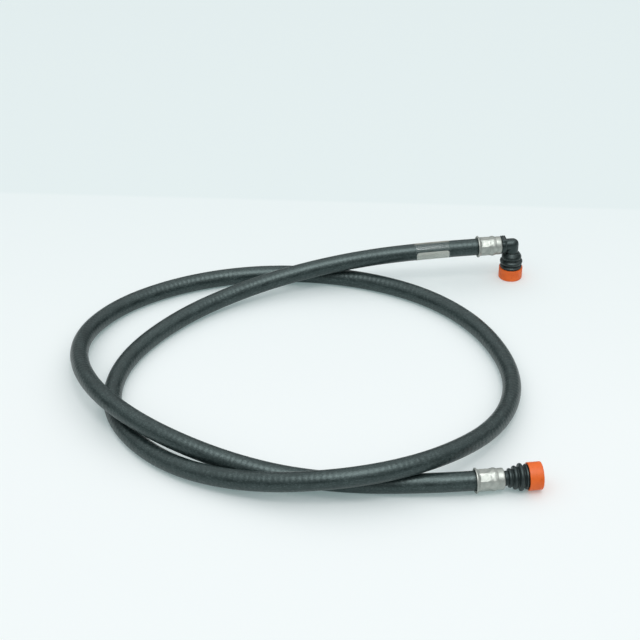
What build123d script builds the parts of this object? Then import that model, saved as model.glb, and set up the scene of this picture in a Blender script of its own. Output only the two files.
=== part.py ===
"""Textile-braid hydraulic hose assembly with a straight and an elbow push-in end.

Millimetres. +X is the direction in which both crimped ends point, +Y goes across the
loops towards the elbow end, +Z is up. The loops, the straight end's cap and the foot
of the elbow end's cap lie on the plane Z = 0.

Each end is described along its own axis by the distance `a` from the open lip of its
ferrule, counted away from the hose, and by the radius `r` about that axis.
"""
import os
from math import cos, pi, radians, sin, tan

from build123d import *

# ---- driving dimensions: hose -------------------------------------------------------
HOSE_OD = 14.3        # size -5 hose, 5/16 in bore
HOSE_BORE = 7.9
LINER_OD = 10.4
BRAID_OD = 11.9
HOSE_R = HOSE_OD / 2

LYING = HOSE_R        # axis height of hose that lies on the floor
OVER = 23.0           # axis height of hose that passes over a lying strand
ELBOW_H = 31.6        # axis height of the hose where it enters the elbow
CAP_OD = 20.3
CAP_R = CAP_OD / 2    # the straight end lies on its cap

ELBOW_LIP = (153.7, 136.5, ELBOW_H)
STRAIGHT_LIP = (89.5, -156, CAP_R)
HOSE_IN = 17.0        # depth of the hose inside each ferrule

# Corners of the hose's route, from the elbow end to the straight end.
ROUTE = [
    (170.7, 136.5, ELBOW_H),
    (101, 136.5, ELBOW_H),
    (30, 141, 22),        # comes down over the far side of the second turn
    (-40, 130, 12),
    (-106, 94, LYING),
    (-155, 33, LYING),
    (-166, -35, LYING),
    (-133, -99, LYING),   # under the second turn at the left
    (-75, -140, 12),
    (-2, -161, OVER + 1),  # long low hump over the straight end's run
    (64, -147, OVER + 1),
    (121, -100, 14),
    (150, -33, LYING),
    (142, 40, LYING),
    (108, 99, LYING),
    (50, 140, LYING),
    (-25, 159, LYING),
    (-97, 150, LYING),
    (-158, 117, LYING),
    (-190, 58, 12),
    (-180, -20, OVER),    # hump over the first turn at the left
    (-134, -86, OVER),
    (-66, -126, 12),
    (-2, -144, LYING),    # under the first turn
    (68, -156, CAP_R),
    (106.5, -156, CAP_R),
]
ARC_SHARE = 0.45      # share of the shorter run that each arc takes

# ---- driving dimensions: ends, as distances a along an end's axis and radii r --------
BORE_R = 2.5          # oil passage through both fittings
TAIL_A = 3.0          # inner tip of the barbed tail
TAIL_R = 3.95
BARB_R = 4.3
BARB_PITCH = 3.2
BARBS = 4
SHOULDER_R = 6.4      # shoulder that the cut end of the hose stops against
NECK_R = 3.9
SHOULDER_END = 19.7
FERRULE_END = 20.7
LIP_R = 9.25          # flared lip at the ferrule's open end
CRIMP_R = 7.9
CRIMP_A = (2.6, 10.6)  # the crimped length
CRIMP_FLAT = 7.6      # apothem of the crimp flats
CRIMP_JAWS = 8
FLAT_MARGIN = 0.8     # plain ring left before the flats
SHELL_IN_R = 7.0      # the crimp squeezes the cover to this radius
NOSE_HOLE_R = 4.1
NOSE_WALL_A = 19.9
SWELL_R = 8.4         # swelling past the crimp
SWELL_A = 13.3
NOSE_R = 7.75
NOSE_A = 16.4

FLANGE_A = 29.6       # flange that keys the boot on the spigot
FLANGE_R = 6.0
SPIGOT_A = 31.2
SPIGOT_R = 4.95
SPIGOT_TIP = 40.7
TIP_CHAMFER = 0.5
GROOVE_R = 3.65
GROOVE_W = 2.2
GROOVES = {"rear": 31.9, "front": 34.5}
RING_CORD = 1.8       # cord diameter of the spigot's O-rings

BOOT_WALL = 1.1
# Outer outline of each boot, from its mouth over the folds to the plain skirt, as (r, a).
FOLDS = {
    "straight": [
        (5.0, 20.9), (5.5, 22.3), (5.2, 23.4),
        (6.8, 24.3), (7.0, 25.0), (6.8, 25.7), (6.2, 26.7),
        (8.3, 27.9), (8.6, 28.7), (8.3, 29.5), (7.2, 30.8),
        (9.7, 32.1), (10.0, 32.95), (9.7, 33.8), (7.5, 35.2),
        (8.9, 36.4), (9.1, 37.2), (8.3, 38.3),
    ],
    "elbow": [
        (5.9, 21.2), (7.9, 23.8), (8.5, 25.2), (8.4, 26.4), (6.9, 27.9),
        (9.5, 29.4), (9.7, 30.3), (9.4, 31.3), (7.4, 32.8),
        (9.2, 34.2), (9.2, 35.3), (7.9, 36.6), (8.3, 37.5),
    ],
}
FOLD_ROUND = 0.5
BEAD_A = 39.3         # the thicker bead at the boot's open end
BEAD_R = 8.6
CAP_LENGTH = 10.1
CAP_WALL = 1.2
CAP_FLOOR = 1.0
CAP_ROUND = 0.5
CAP_RIM = {"straight": 38.1, "elbow": 35.8}

# ---- driving dimensions: elbow -------------------------------------------------------
LEG_FROM_LIP = 31.1   # ferrule lip to the axis of the vertical leg
LEG_R = 5.4           # radius of the leg and of the barrel
LEG_END = 20.9
SEAT_R = 4.8          # seat that the boot's mouth grips
SEAT_END = 26.0
CORNER_ROUND = 4.8    # rounding of the outer corner, seen from the side
COLLAR_A = 20.9
COLLAR_END = 24.5
COLLAR_R = 7.6
SOCKET_R = 4.6        # socket in the elbow for the nipple's plug
PLUG_R = 4.5
PLUG_A = 24.0
PLUG_END = 27.6
PLUG_GROOVE_A = 25.0
PLUG_GROOVE_W = 1.8
PLUG_GROOVE_R = 3.3
PLUG_RING_CORD = 1.25
CLIP_A = 23.2         # plane of the wire clip that locks the nipple in the elbow
CLIP_WIRE = 1.1
CLIP_HALF = 4.45      # half the distance between the clip's legs
CLIP_TOP = 7.1
CLIP_FOOT = -5.6
CLIP_BEND = 1.5
SLOT_GAP = 0.08       # room round the clip's wire in the elbow
LUG_WIDTH = 10.6      # lug on the collar that the clip is pushed in through
LUG_TOP = 6.8
LUG_LENGTH = 4.6
LUG_ROUND = 1.4
JOIN = 0.5            # overlap between the elbow's solids where they join

# ---- driving dimensions: label -------------------------------------------------------
LABEL_X = (99.7, 129.5)
PATCH_INSET = 1.0      # margin of clear film at each end of the patch
PATCH_R = 7.25
FILM_R = 7.37
PATCH_HALF_ANGLE = 62.0
PATCH_CENTRE = -125.0  # direction of the patch's middle about +X, from +Y towards +Z


# ---- frames of the two ends ----------------------------------------------------------
straight_end = Plane(origin=STRAIGHT_LIP, x_dir=(0, 0, 1), z_dir=(1, 0, 0))
elbow_hose_end = Plane(origin=ELBOW_LIP, x_dir=(0, 0, 1), z_dir=(1, 0, 0))
leg_x = ELBOW_LIP[0] + LEG_FROM_LIP
leg_top = CAP_RIM["elbow"] + CAP_LENGTH
elbow_leg_end = Plane(origin=(leg_x, ELBOW_LIP[1], leg_top), x_dir=(1, 0, 0), z_dir=(0, 0, -1))


def end_axis(end):
    """The line along which `a` is counted."""
    return Axis(end.origin, end.z_dir)


def profile_plane(end):
    """The half section of an end: its x is the radius r and its y the distance a."""
    return Plane(origin=end.origin, x_dir=end.x_dir, z_dir=end.x_dir.cross(end.z_dir))


def across(end, a):
    """The plane square to an end's axis at the distance a."""
    return end.offset(a)


def save(part, name):
    """Labels a finished piece and writes it under the same name."""
    part.label = name
    export_step(part, f"parts/{name}.step")


# ---- hose ----------------------------------------------------------------------------
def arc_radii(points):
    """One radius per corner: the largest that both of its runs leave room for."""
    corners = [Vector(*point) for point in points]
    radii = []
    for before, corner, after in zip(corners, corners[1:], corners[2:]):
        run_in = corner - before
        run_out = after - corner
        half_turn = radians(run_in.get_angle(run_out)) / 2
        radii.append(ARC_SHARE * min(run_in.length, run_out.length) / tan(half_turn))
    return radii


def hose_layer(points, inner_r, outer_r):
    """A tube wall swept along straight runs joined by tangent arcs."""
    with BuildPart() as layer:
        with BuildLine():
            route = FilletPolyline(*points, radius=arc_radii(points))
        with BuildSketch(route ^ 0):
            Circle(outer_r)
            Circle(inner_r, mode=Mode.SUBTRACT)
        sweep()
    return layer.part, route.length


def label_stretch():
    """The block of space between the label's two ends."""
    with BuildPart() as block:
        with Locations(((LABEL_X[0] + LABEL_X[1]) / 2, ELBOW_LIP[1], ELBOW_H)):
            Box(LABEL_X[1] - LABEL_X[0], 2 * HOSE_OD, 2 * HOSE_OD)
    return block.part


def label_wrap(inner_r, outer_r):
    """A thin sleeve round the hose, along the label's stretch only."""
    sleeve, _ = hose_layer(ROUTE[:5], inner_r, outer_r)
    with BuildPart() as wrap:
        add(sleeve)
        add(label_stretch(), mode=Mode.INTERSECT)
    return wrap.part


def label_patch():
    """The printed part of the label: a rounded panel on the front of the hose."""
    half_width = HOSE_OD * sin(radians(PATCH_HALF_ANGLE))
    depth = HOSE_OD * cos(radians(PATCH_HALF_ANGLE))
    with BuildPart() as wedge:
        with BuildSketch(Plane.YZ.offset(LABEL_X[0] + PATCH_INSET)):
            with BuildLine():
                Polyline((0, 0), (depth, half_width), (HOSE_OD, half_width),
                         (HOSE_OD, -half_width), (depth, -half_width), close=True)
            make_face()
        extrude(amount=LABEL_X[1] - LABEL_X[0] - 2 * PATCH_INSET)
    placed = wedge.part.rotate(Axis.X, PATCH_CENTRE).moved(Location((0, ELBOW_LIP[1], ELBOW_H)))
    with BuildPart() as patch:
        add(label_wrap(HOSE_R, PATCH_R))
        add(placed, mode=Mode.INTERSECT)
    return patch.part


# ---- crimped ferrule -----------------------------------------------------------------
def ferrule(end):
    """Sheet-metal shell: flared lip, crimp flats, swelling and closed nose."""
    crimp_start, crimp_end = CRIMP_A
    inner_r = SHELL_IN_R
    with BuildPart() as shell:
        with BuildSketch(profile_plane(end)):
            with BuildLine():
                Polyline((LIP_R - 0.25, 0), (LIP_R, 0.35), (LIP_R, 1.1),
                         (CRIMP_R, crimp_start), (CRIMP_R, crimp_end))
                Spline((CRIMP_R, crimp_end), (SWELL_R, SWELL_A), (NOSE_R, NOSE_A),
                       tangents=((0, 1), (0, 1)))
                Polyline((NOSE_R, NOSE_A), (NOSE_R, FERRULE_END - 0.6),
                         (NOSE_R - 0.6, FERRULE_END), (NOSE_HOLE_R, FERRULE_END),
                         (NOSE_HOLE_R, NOSE_WALL_A), (inner_r - 0.1, NOSE_WALL_A),
                         (inner_r, NOSE_A))
                Spline((inner_r, NOSE_A), (SWELL_R - 0.8, SWELL_A), (inner_r, crimp_end),
                       tangents=((0, -1), (0, -1)))
                Polyline((inner_r, crimp_end), (inner_r, crimp_start), (LIP_R - 0.75, 0),
                         (LIP_R - 0.25, 0))
            make_face()
        revolve(axis=end_axis(end))
        with BuildSketch(across(end, crimp_start + FLAT_MARGIN)):
            Circle(CRIMP_R + 1)
            RegularPolygon(CRIMP_FLAT, CRIMP_JAWS, major_radius=False, mode=Mode.SUBTRACT)
        extrude(amount=crimp_end - crimp_start - 1.5 * FLAT_MARGIN, mode=Mode.SUBTRACT)
    return shell.part


# ---- stems and spigots ---------------------------------------------------------------
def tail_outline():
    """Outer outline of the barbed tail and its shoulder, up to the ferrule's nose."""
    outline = [(BORE_R, TAIL_A), (TAIL_R - 0.4, TAIL_A)]
    for barb in range(BARBS):
        start = TAIL_A + 0.5 + barb * BARB_PITCH
        outline += [(TAIL_R - 0.2, start), (BARB_R, start + BARB_PITCH - 0.6),
                    (TAIL_R - 0.2, start + BARB_PITCH - 0.3)]
    outline += [(TAIL_R, HOSE_IN), (SHOULDER_R, HOSE_IN), (SHOULDER_R, SHOULDER_END),
                (NECK_R, SHOULDER_END)]
    return outline


def spigot_outline():
    """Outer outline of the flange, the two seal grooves and the pilot nose."""
    outline = [(NECK_R, FLANGE_A), (FLANGE_R, FLANGE_A), (FLANGE_R, SPIGOT_A), (SPIGOT_R, SPIGOT_A)]
    for groove in sorted(GROOVES.values()):
        outline += [(SPIGOT_R, groove), (GROOVE_R, groove),
                    (GROOVE_R, groove + GROOVE_W), (SPIGOT_R, groove + GROOVE_W)]
    outline += [(SPIGOT_R, SPIGOT_TIP - TIP_CHAMFER), (SPIGOT_R - TIP_CHAMFER, SPIGOT_TIP),
                (BORE_R, SPIGOT_TIP)]
    return outline


def turned(end, outline):
    """A turned piece from a closed outline of (r, a) points."""
    with BuildPart() as piece:
        with BuildSketch(profile_plane(end)):
            with BuildLine():
                Polyline(*outline, close=True)
            make_face()
        revolve(axis=end_axis(end))
    return piece.part


def elbow_nipple():
    """Barbed tail with a plug that the elbow's socket takes."""
    groove_end = PLUG_GROOVE_A + PLUG_GROOVE_W
    plug = [(NECK_R, PLUG_A), (PLUG_R, PLUG_A), (PLUG_R, PLUG_GROOVE_A),
            (PLUG_GROOVE_R, PLUG_GROOVE_A), (PLUG_GROOVE_R, groove_end), (PLUG_R, groove_end),
            (PLUG_R, PLUG_END - 0.3), (PLUG_R - 0.3, PLUG_END), (BORE_R, PLUG_END)]
    return turned(elbow_hose_end, tail_outline() + plug)


def o_ring(end, groove_a, groove_w, groove_r, cord):
    """An O-ring resting on the floor of its groove."""
    with BuildPart() as ring:
        with BuildSketch(profile_plane(end)):
            with Locations((groove_r + cord / 2 + 0.02, groove_a + groove_w / 2)):
                Circle(cord / 2)
        revolve(axis=end_axis(end))
    return ring.part


# ---- elbow ---------------------------------------------------------------------------
def clip_wire(radius):
    """The U-shaped wire clip, or with a larger radius the slot that it lies in."""
    at_clip = Plane(origin=(ELBOW_LIP[0] + CLIP_A, ELBOW_LIP[1], ELBOW_H),
                    x_dir=(0, 1, 0), z_dir=(1, 0, 0))
    with BuildPart() as clip:
        with BuildLine(at_clip):
            bent = FilletPolyline((-CLIP_HALF, CLIP_FOOT), (-CLIP_HALF, CLIP_TOP),
                                  (CLIP_HALF, CLIP_TOP), (CLIP_HALF, CLIP_FOOT), radius=CLIP_BEND)
        with BuildSketch(bent ^ 0):
            Circle(radius)
        sweep()
    return clip.part


def elbow_corner(middle):
    """The outer corner: where the barrel and the leg cross, rounded over."""
    with BuildPart() as corner:
        with BuildSketch(Plane(origin=middle, x_dir=(0, 1, 0), z_dir=(1, 0, 0))):
            Circle(LEG_R)
        extrude(amount=LEG_R, both=True)
        with BuildSketch(Plane(origin=middle)):
            Circle(LEG_R)
        extrude(amount=LEG_R, both=True, mode=Mode.INTERSECT)
        with BuildSketch(Plane(origin=middle, x_dir=(1, 0, 0), z_dir=(0, -1, 0))):
            RectangleRounded(2 * LEG_R, 2 * LEG_R, CORNER_ROUND)
        extrude(amount=LEG_R, both=True, mode=Mode.INTERSECT)
    return corner.part


def elbow_body():
    """Moulded elbow: collar with a clip lug, barrel, round corner, leg and spigot."""
    leg_start = leg_top - ELBOW_H
    middle = (leg_x, ELBOW_LIP[1], ELBOW_H)
    with BuildPart() as body:
        with BuildSketch(across(elbow_hose_end, COLLAR_A)):
            Circle(COLLAR_R)
        extrude(amount=COLLAR_END - COLLAR_A)
        with BuildSketch(across(elbow_hose_end, COLLAR_A)):
            with Locations((LUG_TOP / 2, 0)):
                RectangleRounded(LUG_TOP, LUG_WIDTH, LUG_ROUND)
        extrude(amount=LUG_LENGTH)
        with BuildSketch(across(elbow_hose_end, COLLAR_A)):
            Circle(LEG_R)
        extrude(amount=LEG_FROM_LIP - COLLAR_A)
        add(elbow_corner(middle))
        with BuildSketch(across(elbow_leg_end, leg_start)):
            Circle(LEG_R)
        extrude(amount=LEG_END - leg_start)
        with BuildSketch(across(elbow_leg_end, LEG_END - JOIN)):
            Circle(SEAT_R)
        extrude(amount=SEAT_END - LEG_END + JOIN)
        with BuildSketch(across(elbow_leg_end, SEAT_END - JOIN)):
            Circle(NECK_R)
        extrude(amount=FLANGE_A - SEAT_END + 2 * JOIN)
        with BuildSketch(profile_plane(elbow_leg_end)):
            with BuildLine():
                Polyline((0, FLANGE_A), *spigot_outline()[1:-1], (0, SPIGOT_TIP), close=True)
            make_face()
        revolve(axis=end_axis(elbow_leg_end))
        with BuildSketch(across(elbow_leg_end, leg_start)):
            Circle(BORE_R)
        extrude(amount=SPIGOT_TIP - leg_start, mode=Mode.SUBTRACT)
        with BuildSketch(across(elbow_hose_end, PLUG_END)):
            Circle(BORE_R)
        extrude(amount=LEG_FROM_LIP - PLUG_END, mode=Mode.SUBTRACT)
        with Locations(middle):
            Sphere(BORE_R, mode=Mode.SUBTRACT)
        with BuildSketch(across(elbow_hose_end, COLLAR_A)):
            Circle(SOCKET_R)
        extrude(amount=PLUG_END + SLOT_GAP - COLLAR_A, mode=Mode.SUBTRACT)
        add(clip_wire(CLIP_WIRE / 2 + SLOT_GAP), mode=Mode.SUBTRACT)
    return body.part


# ---- boots and caps ------------------------------------------------------------------
def boot(end, outer):
    """Rubber bellows: a gripping mouth, the folds, a skirt and a bead at the open end."""
    skirt_r, skirt_a = outer[-1]
    inner = [(r - BOOT_WALL, a) for r, a in outer]
    bead = [(skirt_r, BEAD_A - BEAD_R + skirt_r), (BEAD_R, BEAD_A), (BEAD_R, SPIGOT_TIP),
            (skirt_r - BOOT_WALL, SPIGOT_TIP)]
    with BuildPart() as bellows:
        with BuildSketch(profile_plane(end)) as section:
            with BuildLine():
                Polyline(*outer, *bead, *reversed(inner), close=True)
            make_face()
            folds = section.vertices().filter_by_position(Axis.Y, outer[0][1] + 0.1, skirt_a)
            fillet(folds, FOLD_ROUND)
        revolve(axis=end_axis(end))
    return bellows.part


def cap(end, rim_a):
    """Protective cup with a lightly rounded rim and foot."""
    with BuildPart() as cup:
        with BuildSketch(across(end, rim_a)):
            Circle(CAP_R)
        extrude(amount=CAP_LENGTH)
        foot = cup.edges().filter_by(GeomType.CIRCLE).sort_by(end_axis(end))[-1]
        fillet(foot, CAP_ROUND)
        with BuildSketch(across(end, rim_a)):
            Circle(CAP_R - CAP_WALL)
        extrude(amount=CAP_LENGTH - CAP_FLOOR, mode=Mode.SUBTRACT)
    return cup.part


# ---- the whole assembly --------------------------------------------------------------
def save_hose():
    """Liner, braid and cover, with the checks on the route's arcs and volume."""
    layers = {
        "hose_liner": (HOSE_BORE / 2, LINER_OD / 2),
        "hose_braid": (LINER_OD / 2, BRAID_OD / 2),
        "hose_cover": (BRAID_OD / 2, HOSE_R),
    }
    for name, (inner_r, outer_r) in layers.items():
        part, length = hose_layer(ROUTE, inner_r, outer_r)
        expected = pi * (outer_r ** 2 - inner_r ** 2) * length
        print(f"{name}: length {length:.0f} mm, volume {part.volume:.0f} mm3, "
              f"section x length {expected:.0f} mm3")
        save(part, name)
    corners = [Vector(*point) for point in ROUTE]
    for before, corner, after, radius in zip(corners, corners[1:], corners[2:], arc_radii(ROUTE)):
        turn = (corner - before).get_angle(after - corner)
        print(f"corner ({corner.X:.0f}, {corner.Y:.0f}): run in {(corner - before).length:.0f}, "
              f"turn {turn:.0f} deg, radius {radius:.0f} = {radius / HOSE_OD:.1f} diameters")


def save_straight_end():
    """The pieces on the straight end."""
    save(ferrule(straight_end), "straight_ferrule")
    save(turned(straight_end, tail_outline() + spigot_outline()), "straight_stem")
    save(boot(straight_end, FOLDS["straight"]), "straight_boot")
    save(cap(straight_end, CAP_RIM["straight"]), "straight_cap")


def save_elbow_end():
    """The pieces on the elbow end."""
    save(ferrule(elbow_hose_end), "elbow_ferrule")
    save(elbow_nipple(), "elbow_nipple")
    save(o_ring(elbow_hose_end, PLUG_GROOVE_A, PLUG_GROOVE_W, PLUG_GROOVE_R, PLUG_RING_CORD),
         "elbow_nipple_o_ring")
    save(clip_wire(CLIP_WIRE / 2), "elbow_lock_clip")
    save(elbow_body(), "elbow_body")
    save(boot(elbow_leg_end, FOLDS["elbow"]), "elbow_boot")
    save(cap(elbow_leg_end, CAP_RIM["elbow"]), "elbow_cap")


def main():
    os.makedirs("parts", exist_ok=True)
    save_hose()
    save(label_patch(), "label_patch")
    save(label_wrap(PATCH_R, FILM_R), "label_film")
    save_straight_end()
    save_elbow_end()
    for side, end in (("straight", straight_end), ("elbow", elbow_leg_end)):
        for place, groove_a in GROOVES.items():
            ring = o_ring(end, groove_a, GROOVE_W, GROOVE_R, RING_CORD)
            save(ring, f"{side}_o_ring_{place}")


main()
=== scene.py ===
"""Looks for the hydraulic hose assembly, in metres, in the frame of the CAD model.

The pieces of each end are turned about that end's axis. A point on one is (r, a): its
radius, and its distance along the axis from the open lip of the end's ferrule. Those
outlines are in millimetres, and `End.at` turns them into places in the frame.
"""
from math import ceil, cos, pi, radians, sin, sqrt, tan

import bmesh
import bpy
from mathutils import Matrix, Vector, noise


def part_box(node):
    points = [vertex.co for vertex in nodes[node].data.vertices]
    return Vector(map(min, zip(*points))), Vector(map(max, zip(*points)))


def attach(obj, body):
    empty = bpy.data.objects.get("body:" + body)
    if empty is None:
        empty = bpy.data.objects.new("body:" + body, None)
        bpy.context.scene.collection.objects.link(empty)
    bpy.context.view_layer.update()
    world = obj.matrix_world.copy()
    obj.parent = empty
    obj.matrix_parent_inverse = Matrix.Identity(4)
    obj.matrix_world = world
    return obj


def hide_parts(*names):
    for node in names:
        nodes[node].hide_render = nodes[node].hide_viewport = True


MM = 0.001
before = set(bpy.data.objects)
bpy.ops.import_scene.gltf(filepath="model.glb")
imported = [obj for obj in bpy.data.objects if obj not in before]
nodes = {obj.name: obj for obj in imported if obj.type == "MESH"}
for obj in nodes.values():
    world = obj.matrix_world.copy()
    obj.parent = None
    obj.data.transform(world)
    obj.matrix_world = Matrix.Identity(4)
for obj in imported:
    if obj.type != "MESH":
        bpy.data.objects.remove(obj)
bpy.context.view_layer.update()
scene = bpy.context.scene

HOSE, STRAIGHT_CAP, ELBOW_CAP = "hose_assembly", "straight_cap", "elbow_cap"

# ---- hose: the route repeats the CAD model's corners, in millimetres ------------------
ELBOW_H = 31.6
OVER = 23.0
CAP_R = 10.15
HOSE_R = 7.15
LYING = HOSE_R
ROUTE = [
    (170.7, 136.5, ELBOW_H),
    (101, 136.5, ELBOW_H),
    (30, 141, 22),
    (-40, 130, 12),
    (-106, 94, LYING),
    (-155, 33, LYING),
    (-166, -35, LYING),
    (-133, -99, LYING),
    (-75, -140, 12),
    (-2, -161, OVER + 1),
    (64, -147, OVER + 1),
    (121, -100, 14),
    (150, -33, LYING),
    (142, 40, LYING),
    (108, 99, LYING),
    (50, 140, LYING),
    (-25, 159, LYING),
    (-97, 150, LYING),
    (-158, 117, LYING),
    (-190, 58, 12),
    (-180, -20, OVER),
    (-134, -86, OVER),
    (-66, -126, 12),
    (-2, -144, LYING),
    (68, -156, CAP_R),
    (106.5, -156, CAP_R),
]
RING_STEP = 2.4 * MM      # distance between the hose mesh's rings
HOSE_SIDES = 48
LABEL_X = (99.7, 129.5)


# ---- small helpers ---------------------------------------------------------------------
def ramp(value, low, high):
    """0 below low, 1 above high, and smooth in between. low may be the larger."""
    t = min(1.0, max(0.0, (value - low) / (high - low)))
    return t * t * (3 - 2 * t)


def mix(a, b, share):
    return a + (b - a) * share


def rounded(corners, radius, closed=True, steps=4):
    """The outline with each corner turned into a small curve; a corner may bring its own radius."""
    points = []
    count = len(corners)
    for i, corner in enumerate(corners):
        here = Vector(corner[:2])
        if not closed and i in (0, count - 1):
            points.append(here)
            continue
        before = Vector(corners[i - 1][:2]) - here
        after = Vector(corners[(i + 1) % count][:2]) - here
        turn = pi - before.angle(after)
        own = corner[2] if len(corner) > 2 else radius
        cut = min(own * tan(turn / 2), 0.48 * before.length, 0.48 * after.length)
        if cut < 1e-4:
            points.append(here)
            continue
        start, end = here + before.normalized() * cut, here + after.normalized() * cut
        for k in range(steps + 1):
            t = k / steps
            points.append(start * (1 - t) ** 2 + here * 2 * t * (1 - t) + end * t * t)
    return [tuple(p) for p in points]


def curve_through(knots, x):
    """The smooth curve through (x, y) knots, read at x."""
    last = len(knots) - 1
    i = max(k for k in range(last) if k == 0 or knots[k][0] <= x)
    (x0, y0), (x1, y1) = knots[i], knots[i + 1]
    before, after = knots[max(i - 1, 0)], knots[min(i + 2, last)]
    slope0 = (y1 - before[1]) / (x1 - before[0])
    slope1 = (after[1] - y0) / (after[0] - x0)
    h = x1 - x0
    t = min(1.0, max(0.0, (x - x0) / h))
    return ((2 * t ** 3 - 3 * t ** 2 + 1) * y0 + (t ** 3 - 2 * t ** 2 + t) * h * slope0
            + (3 * t ** 2 - 2 * t ** 3) * y1 + (t ** 3 - t ** 2) * h * slope1)


def skin(name, rings, looped):
    """A mesh object over rings of equally many points. A looped one joins its last ring to
    its first; any other is closed by a face at each end."""
    sides = len(rings[0])
    mesh = bmesh.new()
    rows = [[mesh.verts.new(p) for p in ring] for ring in rings]
    spans = list(zip(rows, rows[1:]))
    if looped:
        spans.append((rows[-1], rows[0]))
    for row, following in spans:
        for k in range(sides):
            n = (k + 1) % sides
            mesh.faces.new((row[k], row[n], following[n], following[k]))
    if not looped:
        mesh.faces.new(rows[0])
        mesh.faces.new(rows[-1])
    bmesh.ops.remove_doubles(mesh, verts=mesh.verts, dist=1e-7)
    bmesh.ops.recalc_face_normals(mesh, faces=mesh.faces)
    for face in mesh.faces:
        face.smooth = True
    data = bpy.data.meshes.new(name)
    mesh.to_mesh(data)
    mesh.free()
    piece = bpy.data.objects.new(name, data)
    scene.collection.objects.link(piece)
    return piece


def finish_piece(piece, body, material, replaced=()):
    piece.data.materials.append(material)
    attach(piece, body)
    if replaced:
        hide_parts(*replaced)
    return piece


class End:
    """One end's own axis, read from the box of a CAD node that is turned about it."""

    def __init__(self, lip, axis, up):
        self.lip = Vector(lip)
        self.axis = Vector(axis)
        self.up = Vector(up)
        self.side = self.axis.cross(self.up)

    def at(self, r, a, angle):
        """The place at radius r and distance a; the angle goes from side towards up."""
        across = self.side * cos(angle) + self.up * sin(angle)
        return self.lip + (self.axis * a + across * r) * MM


def ferrule_end(node):
    """The frame of an end whose ferrule is this node. Both ferrules open towards -X."""
    low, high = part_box(node)
    middle = (low + high) / 2
    return End((low.x, middle.y, middle.z), (1, 0, 0), (0, 0, 1))


STRAIGHT = ferrule_end("straight_ferrule")
ELBOW = ferrule_end("elbow_ferrule")
leg_low, leg_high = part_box("elbow_cap")
LEG_TIP = 45.9            # distance a of the elbow cap's foot, which stands on the floor
LEG = End(((leg_low.x + leg_high.x) / 2, (leg_low.y + leg_high.y) / 2, leg_low.z + LEG_TIP * MM),
          (0, 0, -1), (0, 1, 0))


def turned(name, end, outline, sides=96, shape=None):
    """A solid of revolution from a closed outline. shape(r, a, angle) may move its points."""
    rings = []
    for r, a in outline:
        ring = []
        for k in range(sides):
            angle = 2 * pi * k / sides
            new_r, new_a = shape(r, a, angle) if shape else (r, a)
            ring.append(end.at(new_r, new_a, angle))
        rings.append(ring)
    return skin(name, rings, looped=True)


# ---- materials -------------------------------------------------------------------------
class Shader:
    """A node material with short calls for the few nodes that every material here uses."""

    def __init__(self, name, base, roughness, metallic=0.0, specular=0.5, tint=(1, 1, 1)):
        self.material = bpy.data.materials.new(name)
        self.material.use_nodes = True
        self.tree = self.material.node_tree
        self.shader = self.tree.nodes["Principled BSDF"]
        self.shader.inputs["Base Color"].default_value = (*base, 1)
        self.shader.inputs["Roughness"].default_value = roughness
        self.shader.inputs["Metallic"].default_value = metallic
        self.shader.inputs["Specular IOR Level"].default_value = specular
        self.shader.inputs["Specular Tint"].default_value = (*tint, 1)

    def node(self, kind, links=(), **settings):
        made = self.tree.nodes.new("ShaderNode" + kind)
        for key, value in settings.items():
            setattr(made, key, value)
        for socket, value in dict(links).items():
            if isinstance(value, bpy.types.NodeSocket):
                self.tree.links.new(value, made.inputs[socket])
            else:
                made.inputs[socket].default_value = value
        return made

    def place(self, stretch=(1, 1, 1), attribute=None):
        """Coordinates in metres: those of the frame, or those of a named attribute."""
        if attribute:
            source = self.node("Attribute", attribute_name=attribute).outputs["Vector"]
        else:
            source = self.node("TexCoord").outputs["Object"]
        return self.node("Mapping", {"Vector": source, "Scale": stretch}).outputs["Vector"]

    def noise(self, place, scale, detail=3.0, rough=0.55):
        made = self.node("TexNoise", {"Vector": place, "Scale": scale, "Detail": detail, "Roughness": rough})
        return made.outputs["Fac"]

    def range(self, value, low, high, to_low, to_high):
        made = self.node("MapRange", {"Value": value, "From Min": low, "From Max": high,
                                      "To Min": to_low, "To Max": to_high})
        return made.outputs["Result"]

    def maths(self, operation, a, b):
        made = self.node("Math", operation=operation)
        for socket, value in zip(made.inputs, (a, b)):
            if isinstance(value, bpy.types.NodeSocket):
                self.tree.links.new(value, socket)
            else:
                socket.default_value = value
        return made.outputs["Value"]

    def colours(self, share, first, second):
        made = self.node("Mix", data_type="RGBA")
        self.tree.links.new(share, made.inputs["Factor"])
        for socket, value in zip(made.inputs[6:8], (first, second)):
            if isinstance(value, bpy.types.NodeSocket):
                self.tree.links.new(value, socket)
            else:
                socket.default_value = (*value, 1)
        return made.outputs[2]

    def colour(self, value):
        self.tree.links.new(value, self.shader.inputs["Base Color"])

    def rough(self, value):
        self.tree.links.new(value, self.shader.inputs["Roughness"])

    def bump(self, height, distance, strength=1.0):
        """Adds relief: a height from 0 to 1, times a distance in metres."""
        made = self.node("Bump", {"Height": height, "Distance": distance, "Strength": strength})
        earlier = self.shader.inputs["Normal"].links
        if earlier:
            self.tree.links.new(earlier[0].from_socket, made.inputs["Normal"])
        self.tree.links.new(made.outputs["Normal"], self.shader.inputs["Normal"])


BLACK_TINT = (0.80, 1.0, 0.99)  # the black rubber and plastic shine a little green-blue


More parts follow.
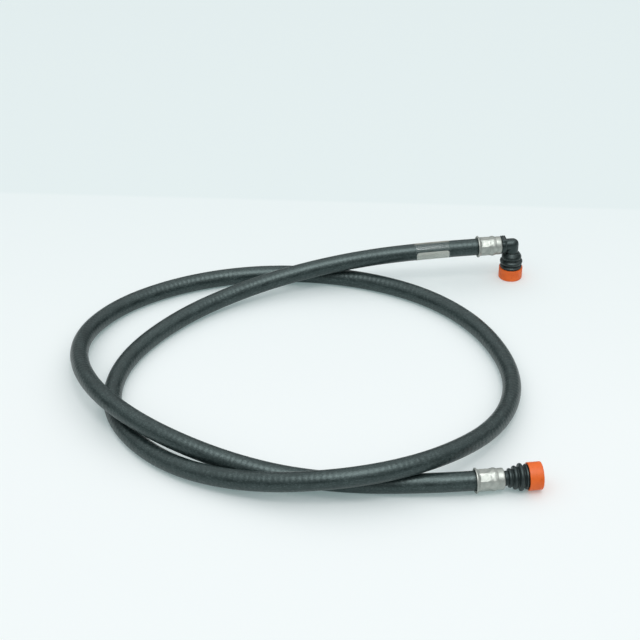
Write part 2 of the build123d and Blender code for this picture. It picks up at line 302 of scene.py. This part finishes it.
def cover_material():
    """Black rubber cured under a textile wrap: cross marks, a fine weave and pale dust."""
    m = Shader("hose_rubber", (0.010, 0.017, 0.017), 0.36, specular=0.62, tint=BLACK_TINT)
    marks = m.node("TexWave", {"Vector": m.place(attribute="straight"), "Scale": 75.0, "Distortion": 2.6,
                               "Detail": 2.0, "Detail Scale": 2.2}, bands_direction="X")
    weave = m.noise(m.place((700, 1500, 1500), "straight"), 1.0, 3.0, 0.6)
    mottle = m.noise(m.place((90, 260, 260), "straight"), 1.0, 4.0)
    dust = m.maths("MULTIPLY", m.range(weave, 0.46, 0.72, 0.0, 1.0), m.range(mottle, 0.3, 0.65, 0.25, 1.0))
    tone = m.colours(m.range(mottle, 0.35, 0.7, 0.0, 1.0), (0.006, 0.013, 0.013), (0.015, 0.026, 0.026))
    m.colour(m.colours(m.maths("MULTIPLY", dust, 0.78), tone, (0.085, 0.115, 0.112)))
    m.rough(m.range(mottle, 0.3, 0.75, 0.33, 0.47))
    m.bump(marks.outputs["Fac"], 0.10 * MM, 0.9)
    m.bump(weave, 0.10 * MM, 0.8)
    return m.material


def ferrule_material():
    """Dull zinc plating with stains and fine rubbed marks."""
    m = Shader("zinc_plating", (0.42, 0.44, 0.41), 0.52, metallic=0.65)
    stain = m.noise(m.place(), 260.0, 4.0)
    rubbed = m.noise(m.place((3000, 400, 400)), 1.0, 3.0)
    m.colour(m.colours(m.range(stain, 0.35, 0.68, 0.0, 1.0), (0.33, 0.36, 0.335), (0.45, 0.475, 0.44)))
    m.rough(m.range(stain, 0.3, 0.7, 0.54, 0.42))
    m.bump(rubbed, 0.02 * MM, 0.5)
    m.bump(stain, 0.04 * MM, 0.5)
    return m.material


def steel_material():
    """Turned and plated steel, with tool marks round the axis."""
    m = Shader("turned_steel", (0.62, 0.61, 0.58), 0.32, metallic=1.0)
    marks = m.noise(m.place((5000, 300, 300)), 1.0, 2.0)
    cloud = m.noise(m.place(), 300.0, 3.0)
    m.colour(m.colours(m.range(cloud, 0.3, 0.7, 0.0, 1.0), (0.52, 0.51, 0.48), (0.70, 0.69, 0.66)))
    m.rough(m.range(cloud, 0.3, 0.7, 0.38, 0.26))
    m.bump(marks, 0.01 * MM, 0.6)
    return m.material


def moulded_material(name, dark, light, roughness, grain):
    """Moulded black plastic or rubber: a fine grain and slightly uneven gloss."""
    m = Shader(name, dark, roughness, specular=0.55, tint=BLACK_TINT)
    fine = m.noise(m.place(), grain, 3.0)
    cloud = m.noise(m.place(), grain / 9, 3.0)
    m.colour(m.colours(m.range(cloud, 0.35, 0.7, 0.0, 1.0), dark, light))
    m.rough(m.range(cloud, 0.3, 0.7, roughness - 0.06, roughness + 0.08))
    m.bump(fine, 0.03 * MM, 0.6)
    return m.material


def cap_material():
    """Orange polyethylene: faint flow marks, a soft grain and a few dark specks."""
    m = Shader("orange_cap", (0.78, 0.15, 0.03), 0.46, specular=0.32)
    flow = m.noise(m.place(), 190.0, 4.0)
    cells = m.node("TexVoronoi", {"Vector": m.place(), "Scale": 330.0, "Randomness": 1.0})
    specks = cells.outputs["Distance"]
    clean = m.colours(m.range(flow, 0.35, 0.68, 0.0, 1.0), (0.80, 0.130, 0.014), (0.90, 0.165, 0.024))
    m.colour(m.colours(m.range(specks, 0.09, 0.04, 0.0, 0.75), clean, (0.22, 0.05, 0.02)))
    m.rough(m.range(flow, 0.3, 0.7, 0.40, 0.54))
    m.bump(m.noise(m.place(), 1900.0, 3.0), 0.03 * MM, 0.6)
    return m.material


FILM_TONE = (0.22, 0.29, 0.28)
LAP_TONE = (0.98, 0.96, 0.82)


def film_material():
    """Clear glossy film: mostly reflections, with a cream strip at the back of its lap."""
    m = Shader("label_film", FILM_TONE, 0.10, specular=1.0)
    m.shader.inputs["Alpha"].default_value = 0.15
    across = m.node("SeparateXYZ", {"Vector": m.place(attribute="straight")}).outputs
    near_top = m.range(across["Z"], 6.4 * MM, 6.8 * MM, 0.0, 1.0)
    behind = m.range(across["Y"], -0.9 * MM, -0.4 * MM, 0.0, 1.0)
    lap = m.maths("MULTIPLY", near_top, behind)
    m.colour(m.colours(lap, FILM_TONE, LAP_TONE))
    ripple = m.noise(m.place((60, 420, 420), "straight"), 1.0, 2.0)
    m.bump(ripple, 0.10 * MM, 0.5)
    return m.material


def patch_material():
    """Pale print panel under the film, without lettering: only faint smudges."""
    m = Shader("label_patch", (0.80, 0.82, 0.76), 0.5)
    smudge = m.noise(m.place((150, 500, 500), "straight"), 1.0, 4.0)
    m.colour(m.colours(m.range(smudge, 0.5, 0.72, 0.0, 1.0), (0.84, 0.86, 0.79), (0.68, 0.70, 0.64)))
    m.rough(m.range(smudge, 0.3, 0.7, 0.42, 0.56))
    return m.material


RUBBER = cover_material()
ZINC = ferrule_material()
STEEL = steel_material()
PLASTIC = moulded_material("black_plastic", (0.008, 0.014, 0.014), (0.016, 0.024, 0.024), 0.34, 2400.0)
BOOT_RUBBER = moulded_material("boot_rubber", (0.007, 0.012, 0.012), (0.017, 0.024, 0.024), 0.38, 1800.0)
SEAL_RUBBER = moulded_material("seal_rubber", (0.010, 0.010, 0.011), (0.018, 0.018, 0.019), 0.30, 1500.0)
WIRE = moulded_material("black_wire", (0.05, 0.055, 0.055), (0.09, 0.095, 0.095), 0.35, 2600.0)
ORANGE = cap_material()
FILM = film_material()
PATCH = patch_material()


# ---- camera, floor and light ------------------------------------------------------------
SKY_LOW, SKY_HIGH = 0.10, 1.13
FLOOR_BACK = (0.1865, 0.9825, 0)  # the way in which the floor card's far edge lies
FLOOR_EDGE = 0.298
FLOOR_TONE = (0.76, 0.75, 0.75)
# the tone at the back of the floor: reached by painted shade for the light's falloff, and by the step behind
# the card's far edge
FLOOR_FAR_TONE = (0.662, 0.683, 0.683)
FLOOR_GLOW = (0.145, 0.205, 0.205, 1)
LAMP_AIM = (0, 0, 0)


def set_camera():
    data = bpy.data.cameras.new("camera")
    data.lens = 89.3
    data.sensor_width = 36.0
    data.clip_start = 0.02
    camera = bpy.data.objects.new("camera", data)
    camera.location = (-0.1348, -1.0240, 0.7000)
    camera.rotation_euler = (radians(58), 0, radians(-7.5))
    scene.collection.objects.link(camera)
    scene.camera = camera


def area_light(name, place, aim, size, power, gloss_only=False):
    """A round soft light. One for gloss only is seen in shiny surfaces but casts no light."""
    data = bpy.data.lights.new(name, "AREA")
    data.shape = "DISK"
    data.size = size
    data.energy = power
    lamp = bpy.data.objects.new(name, data)
    lamp.location = place
    lamp.visible_diffuse = not gloss_only
    lamp.rotation_euler = (Vector(aim) - Vector(place)).to_track_quat("-Z", "Y").to_euler()
    scene.collection.objects.link(lamp)


def sky():
    """A studio dome: bright overhead, dim towards the horizon."""
    world = bpy.data.worlds.new("studio")
    world.use_nodes = True
    tree = world.node_tree
    place = tree.nodes.new("ShaderNodeTexCoord").outputs["Generated"]
    split = tree.nodes.new("ShaderNodeSeparateXYZ")
    shade = tree.nodes.new("ShaderNodeMapRange")
    shade.interpolation_type = "SMOOTHSTEP"
    for socket, value in (("From Min", 0.15), ("From Max", 0.8), ("To Min", SKY_LOW), ("To Max", SKY_HIGH)):
        shade.inputs[socket].default_value = value
    background = tree.nodes["Background"]
    background.inputs["Color"].default_value = (0.98, 0.99, 1.0, 1)
    tree.links.new(place, split.inputs["Vector"])
    tree.links.new(split.outputs["Z"], shade.inputs["Value"])
    tree.links.new(shade.outputs["Result"], background.inputs["Strength"])
    scene.world = world


def floor_material():
    """Pale card, darker towards the back with painted shade that stands in for the light's falloff, and a
    little darker behind its far edge. Its faint glow keeps the shadows light.
    """
    m = Shader("pale_floor", FLOOR_TONE, 0.8, specular=0.0)
    m.shader.inputs["Emission Color"].default_value = FLOOR_GLOW
    m.shader.inputs["Emission Strength"].default_value = 1.0
    back = m.node("VectorMath", {0: m.place(), 1: FLOOR_BACK}, operation="DOT_PRODUCT").outputs["Value"]
    # painted shade: the floor grows darker towards the back, standing in for the light's falloff
    painted_falloff = m.range(back, -0.05, FLOOR_EDGE, 0.0, 0.6)
    edge = m.range(back, FLOOR_EDGE - 0.002, FLOOR_EDGE + 0.004, 0.0, 0.4)
    m.colour(m.colours(m.maths("ADD", painted_falloff, edge), FLOOR_TONE, FLOOR_FAR_TONE))
    return m.material


def set_stage():
    bpy.ops.mesh.primitive_plane_add(size=12)
    floor = bpy.context.object
    floor.name = "floor"
    floor.data.materials.append(floor_material())
    sky()
    area_light("overhead", (0.1, -1.25, 2.8), LAMP_AIM, 0.9, 13)
    area_light("soft_box", (0.1, -0.9, 2.9), LAMP_AIM, 2.7, 62, gloss_only=True)
    scene.view_settings.view_transform = "Standard"


# ---- hose -------------------------------------------------------------------------------
class Route:
    """The hose's centreline: evenly spaced places read from one NURBS spline."""

    def __init__(self, corners, step):
        data = bpy.data.curves.new("route", "CURVE")
        data.dimensions = "3D"
        data.resolution_u = 40
        spline = data.splines.new("NURBS")
        spline.points.add(len(corners) - 1)
        for point, corner in zip(spline.points, corners):
            point.co = (*(c * MM for c in corner), 1)
        spline.order_u = 3
        spline.use_endpoint_u = True
        curve = bpy.data.objects.new("route", data)
        scene.collection.objects.link(curve)
        read = bpy.data.meshes.new_from_object(curve)
        self.read = [v.co.copy() for v in read.vertices]
        self.marks = [0.0]
        for before, after in zip(self.read, self.read[1:]):
            self.marks.append(self.marks[-1] + (after - before).length)
        self.length = self.marks[-1]
        self.count = ceil(self.length / step)
        self.places = [self.place(self.length * k / self.count) for k in range(self.count + 1)]
        bpy.data.objects.remove(curve)
        bpy.data.meshes.remove(read)

    def place(self, along):
        """The place at a distance along the hose."""
        low, high = 0, len(self.marks) - 1
        while high - low > 1:
            k = (low + high) // 2
            if self.marks[k] <= along:
                low = k
            else:
                high = k
        share = (along - self.marks[low]) / (self.marks[high] - self.marks[low])
        return self.read[low].lerp(self.read[high], share)

    def axes(self, along):
        """The place there, with the directions sideways and upwards."""
        half = 1.5 * MM
        ahead = self.place(min(along + half, self.length))
        behind = self.place(max(along - half, 0))
        tangent = (ahead - behind).normalized()
        side = tangent.cross(Vector((0, 0, 1))).normalized()
        return self.place(along), side, side.cross(tangent)

    def on(self, along, r, angle):
        """A place at radius r (mm) about the hose, its angle going from sideways to upwards."""
        middle, side, up = self.axes(along)
        return middle + (side * cos(angle) + up * sin(angle)) * r * MM

    def along_at_x(self, x):
        """How far along the hose's first stretch, which runs towards -X, an x (mm) lies."""
        low, high = 0.0, 0.12
        while high - low > 1e-6:
            middle = (low + high) / 2
            if self.place(middle).x > x * MM:
                low = middle
            else:
                high = middle
        return low


def unrolled(piece, spots):
    """Gives each point its place on a straight hose: (along, r cos, r sin), for the materials."""
    layer = piece.data.attributes.new("straight", "FLOAT_VECTOR", "POINT")
    for k, spot in enumerate(spots):
        layer.data[k].vector = spot


def hose_piece(route):
    rings = []
    spots = []
    for k in range(route.count + 1):
        along = route.length * k / route.count
        middle, side, up = route.axes(along)
        ring = []
        for n in range(HOSE_SIDES):
            angle = 2 * pi * n / HOSE_SIDES
            waver = noise.noise((along * 22, 1.5 * cos(angle), 1.5 * sin(angle)))
            r = (HOSE_R + 0.06 * waver) * MM
            ring.append(middle + (side * cos(angle) + up * sin(angle)) * r)
            spots.append((along, r * cos(angle), r * sin(angle)))
        rings.append(ring)
    piece = skin("hose", rings, looped=False)
    unrolled(piece, spots)
    return finish_piece(piece, HOSE, RUBBER, ("hose_cover", "hose_braid", "hose_liner"))


# ---- label --------------------------------------------------------------------------------
FILM_R = 7.33
FILM_THICK = 0.08
LAP_RISE = 0.10           # how far the film's lap stands up
RIPPLE_RISE = 0.05
PATCH_MARGIN = 1          # clear film at each end of the panel
PATCH_LIFT = 0.05
PATCH_THICK = 0.06
PATCH_CENTRE = radians(-132.5)
PATCH_HALF = radians(67.5)
PATCH_CORNER = 2.2


def film_piece(route):
    """Clear film wrapped once round the hose, its end lapped over along the top."""
    start, end = route.along_at_x(LABEL_X[1]), route.along_at_x(LABEL_X[0])
    steps, sides = 26, 72
    rings = []
    spots = []
    rows = [(k / steps, 1) for k in range(steps + 1)] + [(k / steps, 0) for k in range(steps, -1, -1)]
    for share, outside in rows:
        along = mix(start, end, share)
        ring = []
        for n in range(sides):
            angle = 2 * pi * n / sides
            lap = ramp(angle, radians(62), radians(66)) * ramp(angle, radians(118), radians(112))
            ripple = noise.noise((along * 160, 2 * cos(angle), 2 * sin(angle)))
            r = FILM_R + outside * (FILM_THICK + LAP_RISE * lap + RIPPLE_RISE * max(0.0, ripple))
            ring.append(route.on(along, r, angle))
            spots.append((along, r * MM * cos(angle), r * MM * sin(angle)))
        rings.append(ring)
    piece = skin("label_film_wrap", rings, looped=True)
    unrolled(piece, spots)
    return finish_piece(piece, HOSE, FILM, ("label_film",))


def patch_piece(route):
    """The pale panel with rounded corners on the lower front of the hose."""
    start = route.along_at_x(LABEL_X[1] - PATCH_MARGIN)
    end = route.along_at_x(LABEL_X[0] + PATCH_MARGIN)
    length = (end - start) / MM
    width = 2 * PATCH_HALF * HOSE_R
    rows, columns = 36, 30
    rings = []
    spots = []
    for k in range(rows + 1):
        over = width * (1 - cos(pi * k / rows)) / 2
        inset = max(0.0, PATCH_CORNER - min(over, width - over))
        inset = PATCH_CORNER - sqrt(PATCH_CORNER ** 2 - min(inset, 0.999 * PATCH_CORNER) ** 2)
        angle = PATCH_CENTRE + (over - width / 2) / HOSE_R
        ring = []
        for outside in (1, 0):
            for n in range(columns + 1):
                share = (n if outside else columns - n) / columns
                along = start + mix(inset, length - inset, share) * MM
                r = HOSE_R + PATCH_LIFT + outside * PATCH_THICK
                ring.append(route.on(along, r, angle))
                spots.append((along, r * MM * cos(angle), r * MM * sin(angle)))
        rings.append(ring)
    piece = skin("label_panel", rings, looped=False)
    unrolled(piece, spots)
    return finish_piece(piece, HOSE, PATCH, ("label_patch",))


# ---- ferrules -------------------------------------------------------------------------------
JAWS = 8
SHELL = [(0, 8.85), (0.35, 9.2), (0.9, 9.25), (1.5, 8.85), (2.3, 8.12), (3.0, 7.97), (10.3, 7.97),
         (11.8, 8.2), (13.3, 8.42), (14.8, 8.1), (16.2, 7.66), (17.2, 7.74), (19.7, 7.76),
         (20.4, 7.5), (20.7, 7.1)]
CRIMP_APOTHEM = 7.52
CRIMP_RIDGE = 8.12


def crimped(phase):
    """The shape of the shell: flats from a=3 to about 10, scalloped where they run out."""
    def shape(r, a, angle):
        if r < HOSE_R + 0.3:
            return r, a
        jaw = ((angle - phase) / (2 * pi) * JAWS) % 1.0
        off = (jaw - 0.5) * 2 * pi / JAWS
        ridge = abs(2 * jaw - 1) ** 2
        flat = min(CRIMP_RIDGE, CRIMP_APOTHEM / cos(off))
        inside = ramp(a, 2.5, 3.3) * ramp(a, 11.3 - 1.9 * ridge, 9.7 - 1.9 * ridge)
        swell = ramp(a, 10.8, 12.8) * ramp(a, 16.2, 13.7)
        bulge = swell * (0.20 * ridge - 0.12 * (1 - ridge))
        dent = 0.03 * noise.noise((a * 0.9, 3 * cos(angle), 3 * sin(angle) + phase))
        return mix(r, flat, inside) + bulge + dent, a
    return shape


def ferrule_piece(name, end, phase):
    outer = [(curve_through(SHELL, a), a) for a in [k * 0.3 for k in range(69)] + [20.7]]
    inner = [(4.1, 20.7), (4.1, 19.95), (6.9, 19.9), (6.95, 16.0), (6.95, 3.0), (7.3, 2.2), (8.35, 0.25)]
    piece = turned(name + "_shell", end, outer + inner, 128, crimped(phase))
    return finish_piece(piece, HOSE, ZINC, (name,))


# ---- boots and caps ---------------------------------------------------------------------------
BOOT_WALL = 1.1
STRAIGHT_FOLDS = [
    (5.0, 20.9), (5.5, 22.3), (5.2, 23.4),
    (6.85, 24.2), (7.05, 25.0), (6.85, 25.8), (6.1, 26.7),
    (8.35, 27.8), (8.65, 28.7), (8.35, 29.6), (7.1, 30.8),
    (9.75, 32.0), (10.05, 32.95), (9.75, 33.9), (7.4, 35.2),
    (8.95, 36.3), (9.15, 37.2), (8.3, 38.3)]
ELBOW_FOLDS = [
    (5.9, 21.2), (7.9, 23.8), (8.55, 25.2), (8.45, 26.5), (6.9, 27.9),
    (9.55, 29.3), (9.75, 30.3), (9.45, 31.4), (7.3, 32.8),
    (9.25, 34.1), (9.25, 35.4), (7.9, 36.6), (8.3, 37.5)]
SKIRT = [(8.3, 39.0), (8.6, 39.4), (8.6, 40.7), (7.2, 40.7)]


def boot_piece(name, end, folds):
    inner = [(r - BOOT_WALL, a) for r, a in folds]
    outline = rounded(folds + SKIRT + inner[::-1], 0.45)

    def shape(r, a, angle):
        sag = 0.10 * noise.noise((a * 0.35, 1.3 * cos(angle), 1.3 * sin(angle)))
        return r, a + sag * ramp(a, 23, 26) * ramp(a, 38, 36)
    piece = turned(name + "_bellows", end, outline, 128, shape)
    return finish_piece(piece, HOSE, BOOT_RUBBER, (name,))


STRAIGHT_RIM, ELBOW_RIM = 38.1, 35.8
CAP_LENGTH = 10.1
CAP_WALL = 1.2
CAP_FLOOR = 1.0


def cap_piece(name, end, rim, body):
    """A push-on cup with a soft rim, a rounded foot and a gate mark in its middle."""
    foot = rim + CAP_LENGTH
    inside = foot - CAP_FLOOR
    outline = rounded([
        (0, foot - 0.25, 0), (1.3, foot - 0.25, 0.1), (1.5, foot - 0.02, 0.1), (CAP_R, foot, 0.9),
        (CAP_R, rim, 0.35), (CAP_R - CAP_WALL, rim, 0.35), (CAP_R - CAP_WALL - 0.1, inside, 0.6),
        (0, inside, 0)], 0.3, steps=6)
    piece = turned(name + "_cup", end, outline, 128)
    return finish_piece(piece, body, ORANGE, (name,))


# ---- elbow --------------------------------------------------------------------------------------
COLLAR_A = 20.9
COLLAR_END = 24.5
COLLAR_R = 7.6
BARREL_R = 5.4
LUG_END = 25.4
LUG_TOP = 6.9
LUG_HALF = 5.3
CORNER_R = 4.8            # rounding of the outer corner
INNER_R = 0.1             # rounding of the inner corner
BORE_R = 2.5
SOCKET_R = 4.6
PLUG_END = 27.7


def lugged(radius):
    """The radius at an angle, from side towards up, of a round bar with the clip's lug on top."""
    def at(angle):
        off = abs(angle - pi / 2)
        if off > radians(80):
            return radius
        top = LUG_TOP / cos(off)
        flank = LUG_HALF / max(sin(off), 0.01)
        return max(radius, (top ** -12 + flank ** -12) ** (-1 / 12))
    return at


def elbow_piece():
    """One closed skin: collar and lug, barrel, corner, leg, neck, spigot and back inside."""
    sides = 144
    reach = (LEG.lip - ELBOW.lip).dot(ELBOW.axis) / MM
    drop = (LEG.lip.z - ELBOW.lip.z) / MM
    angles = [2 * pi * k / sides for k in range(sides)]
    rings = []

    def along_hose(a, radius, shrink=0.0):
        rings.append([ELBOW.at((radius(angle) if callable(radius) else radius) - shrink, a, angle)
                      for angle in angles])

    def round_corner(r, corner_r, turns):
        """Turns down about the inner corner: a crease there, rounded more and more outwards."""
        pivot_a, pivot_z = reach - r - INNER_R, -(r + INNER_R)
        far = 2 * r + INNER_R
        cut = far - corner_r
        for turn in turns:
            nearest = min(turn, pi / 2 - turn)
            arc = cut * (cos(turn) + sin(turn))
            arc += sqrt(max(0.0, arc * arc - 2 * cut * cut + corner_r * corner_r))
            limit = arc if far * tan(nearest) > cut else far / cos(nearest)
            ring = []
            for angle in angles:
                out = (INNER_R + r + r * sin(angle)) * limit / far
                ring.append(ELBOW.lip + (ELBOW.axis * (pivot_a + out * sin(turn))
                                         + ELBOW.side * r * cos(angle)
                                         + ELBOW.up * (pivot_z + out * cos(turn))) * MM)
            rings.append(ring)

    def down_leg(a, r):
        rings.append([LEG.lip + (LEG.axis * a + ELBOW.side * r * cos(angle)
                                 + ELBOW.axis * r * sin(angle)) * MM for angle in angles])

    collar, barrel = lugged(COLLAR_R), lugged(BARREL_R)
    for a, radius, shrink in [(COLLAR_A, COLLAR_R, 0.35), (COLLAR_A + 0.1, collar, 0.25),
                              (COLLAR_A + 0.4, collar, 0), (COLLAR_END - 0.4, collar, 0),
                              (COLLAR_END - 0.1, collar, 0.25), (COLLAR_END, barrel, 0),
                              (LUG_END - 0.4, barrel, 0), (LUG_END - 0.1, barrel, 0.25),
                              (LUG_END, BARREL_R, 0)]:
        along_hose(a, radius, shrink)
    fine = [radians(k * 1.875) for k in range(49)]
    round_corner(BARREL_R, CORNER_R, fine)
    leg = rounded([(BARREL_R, drop + BARREL_R + 0.4), (BARREL_R, 20.9), (4.8, 20.9), (4.8, 26.0),
                   (3.9, 26.0), (3.9, 29.6), (6.0, 29.6), (6.0, 31.2), (4.95, 31.2), (4.95, 31.9),
                   (3.65, 31.9),
                   (3.65, 34.1), (4.95, 34.1), (4.95, 34.5), (3.65, 34.5), (3.65, 36.7), (4.95, 36.7),
                   (4.95, 40.2), (4.45, 40.7), (BORE_R + 0.2, 40.7), (BORE_R, 40.5), (BORE_R, drop + 4)],
                  0.15, closed=False, steps=2)
    for r, a in leg:
        down_leg(a, r)
    round_corner(BORE_R, 0, fine[::-4])
    for a, r in [(PLUG_END, BORE_R), (PLUG_END, SOCKET_R), (COLLAR_A + 0.2, SOCKET_R),
                 (COLLAR_A, SOCKET_R + 0.2)]:
        along_hose(a, r)
    piece = skin("elbow_moulding", rings, looped=True)
    return finish_piece(piece, HOSE, PLASTIC, ("elbow_body",))


# ---- CAD nodes that stay ------------------------------------------------------------------------
def keep(material, *names):
    for name in names:
        data = nodes[name].data
        data.materials.clear()
        data.materials.append(material)


# ---- the whole object ---------------------------------------------------------------------------
set_camera()
set_stage()
route = Route(ROUTE, RING_STEP)
hose = hose_piece(route)
film_piece(route)
patch_piece(route)
straight_ferrule = ferrule_piece("straight_ferrule", STRAIGHT, radians(27.6))
ferrule_piece("elbow_ferrule", ELBOW, radians(23.5))
straight_boot = boot_piece("straight_boot", STRAIGHT, STRAIGHT_FOLDS)
boot_piece("elbow_boot", LEG, ELBOW_FOLDS)
cap_piece("straight_cap", STRAIGHT, STRAIGHT_RIM, STRAIGHT_CAP)
cap_piece("elbow_cap", LEG, ELBOW_RIM, ELBOW_CAP)
elbow_piece()
keep(STEEL, "straight_stem", "elbow_nipple")
keep(WIRE, "elbow_lock_clip")
keep(SEAL_RUBBER, "straight_o_ring_front", "straight_o_ring_rear", "elbow_o_ring_front",
     "elbow_o_ring_rear", "elbow_nipple_o_ring")
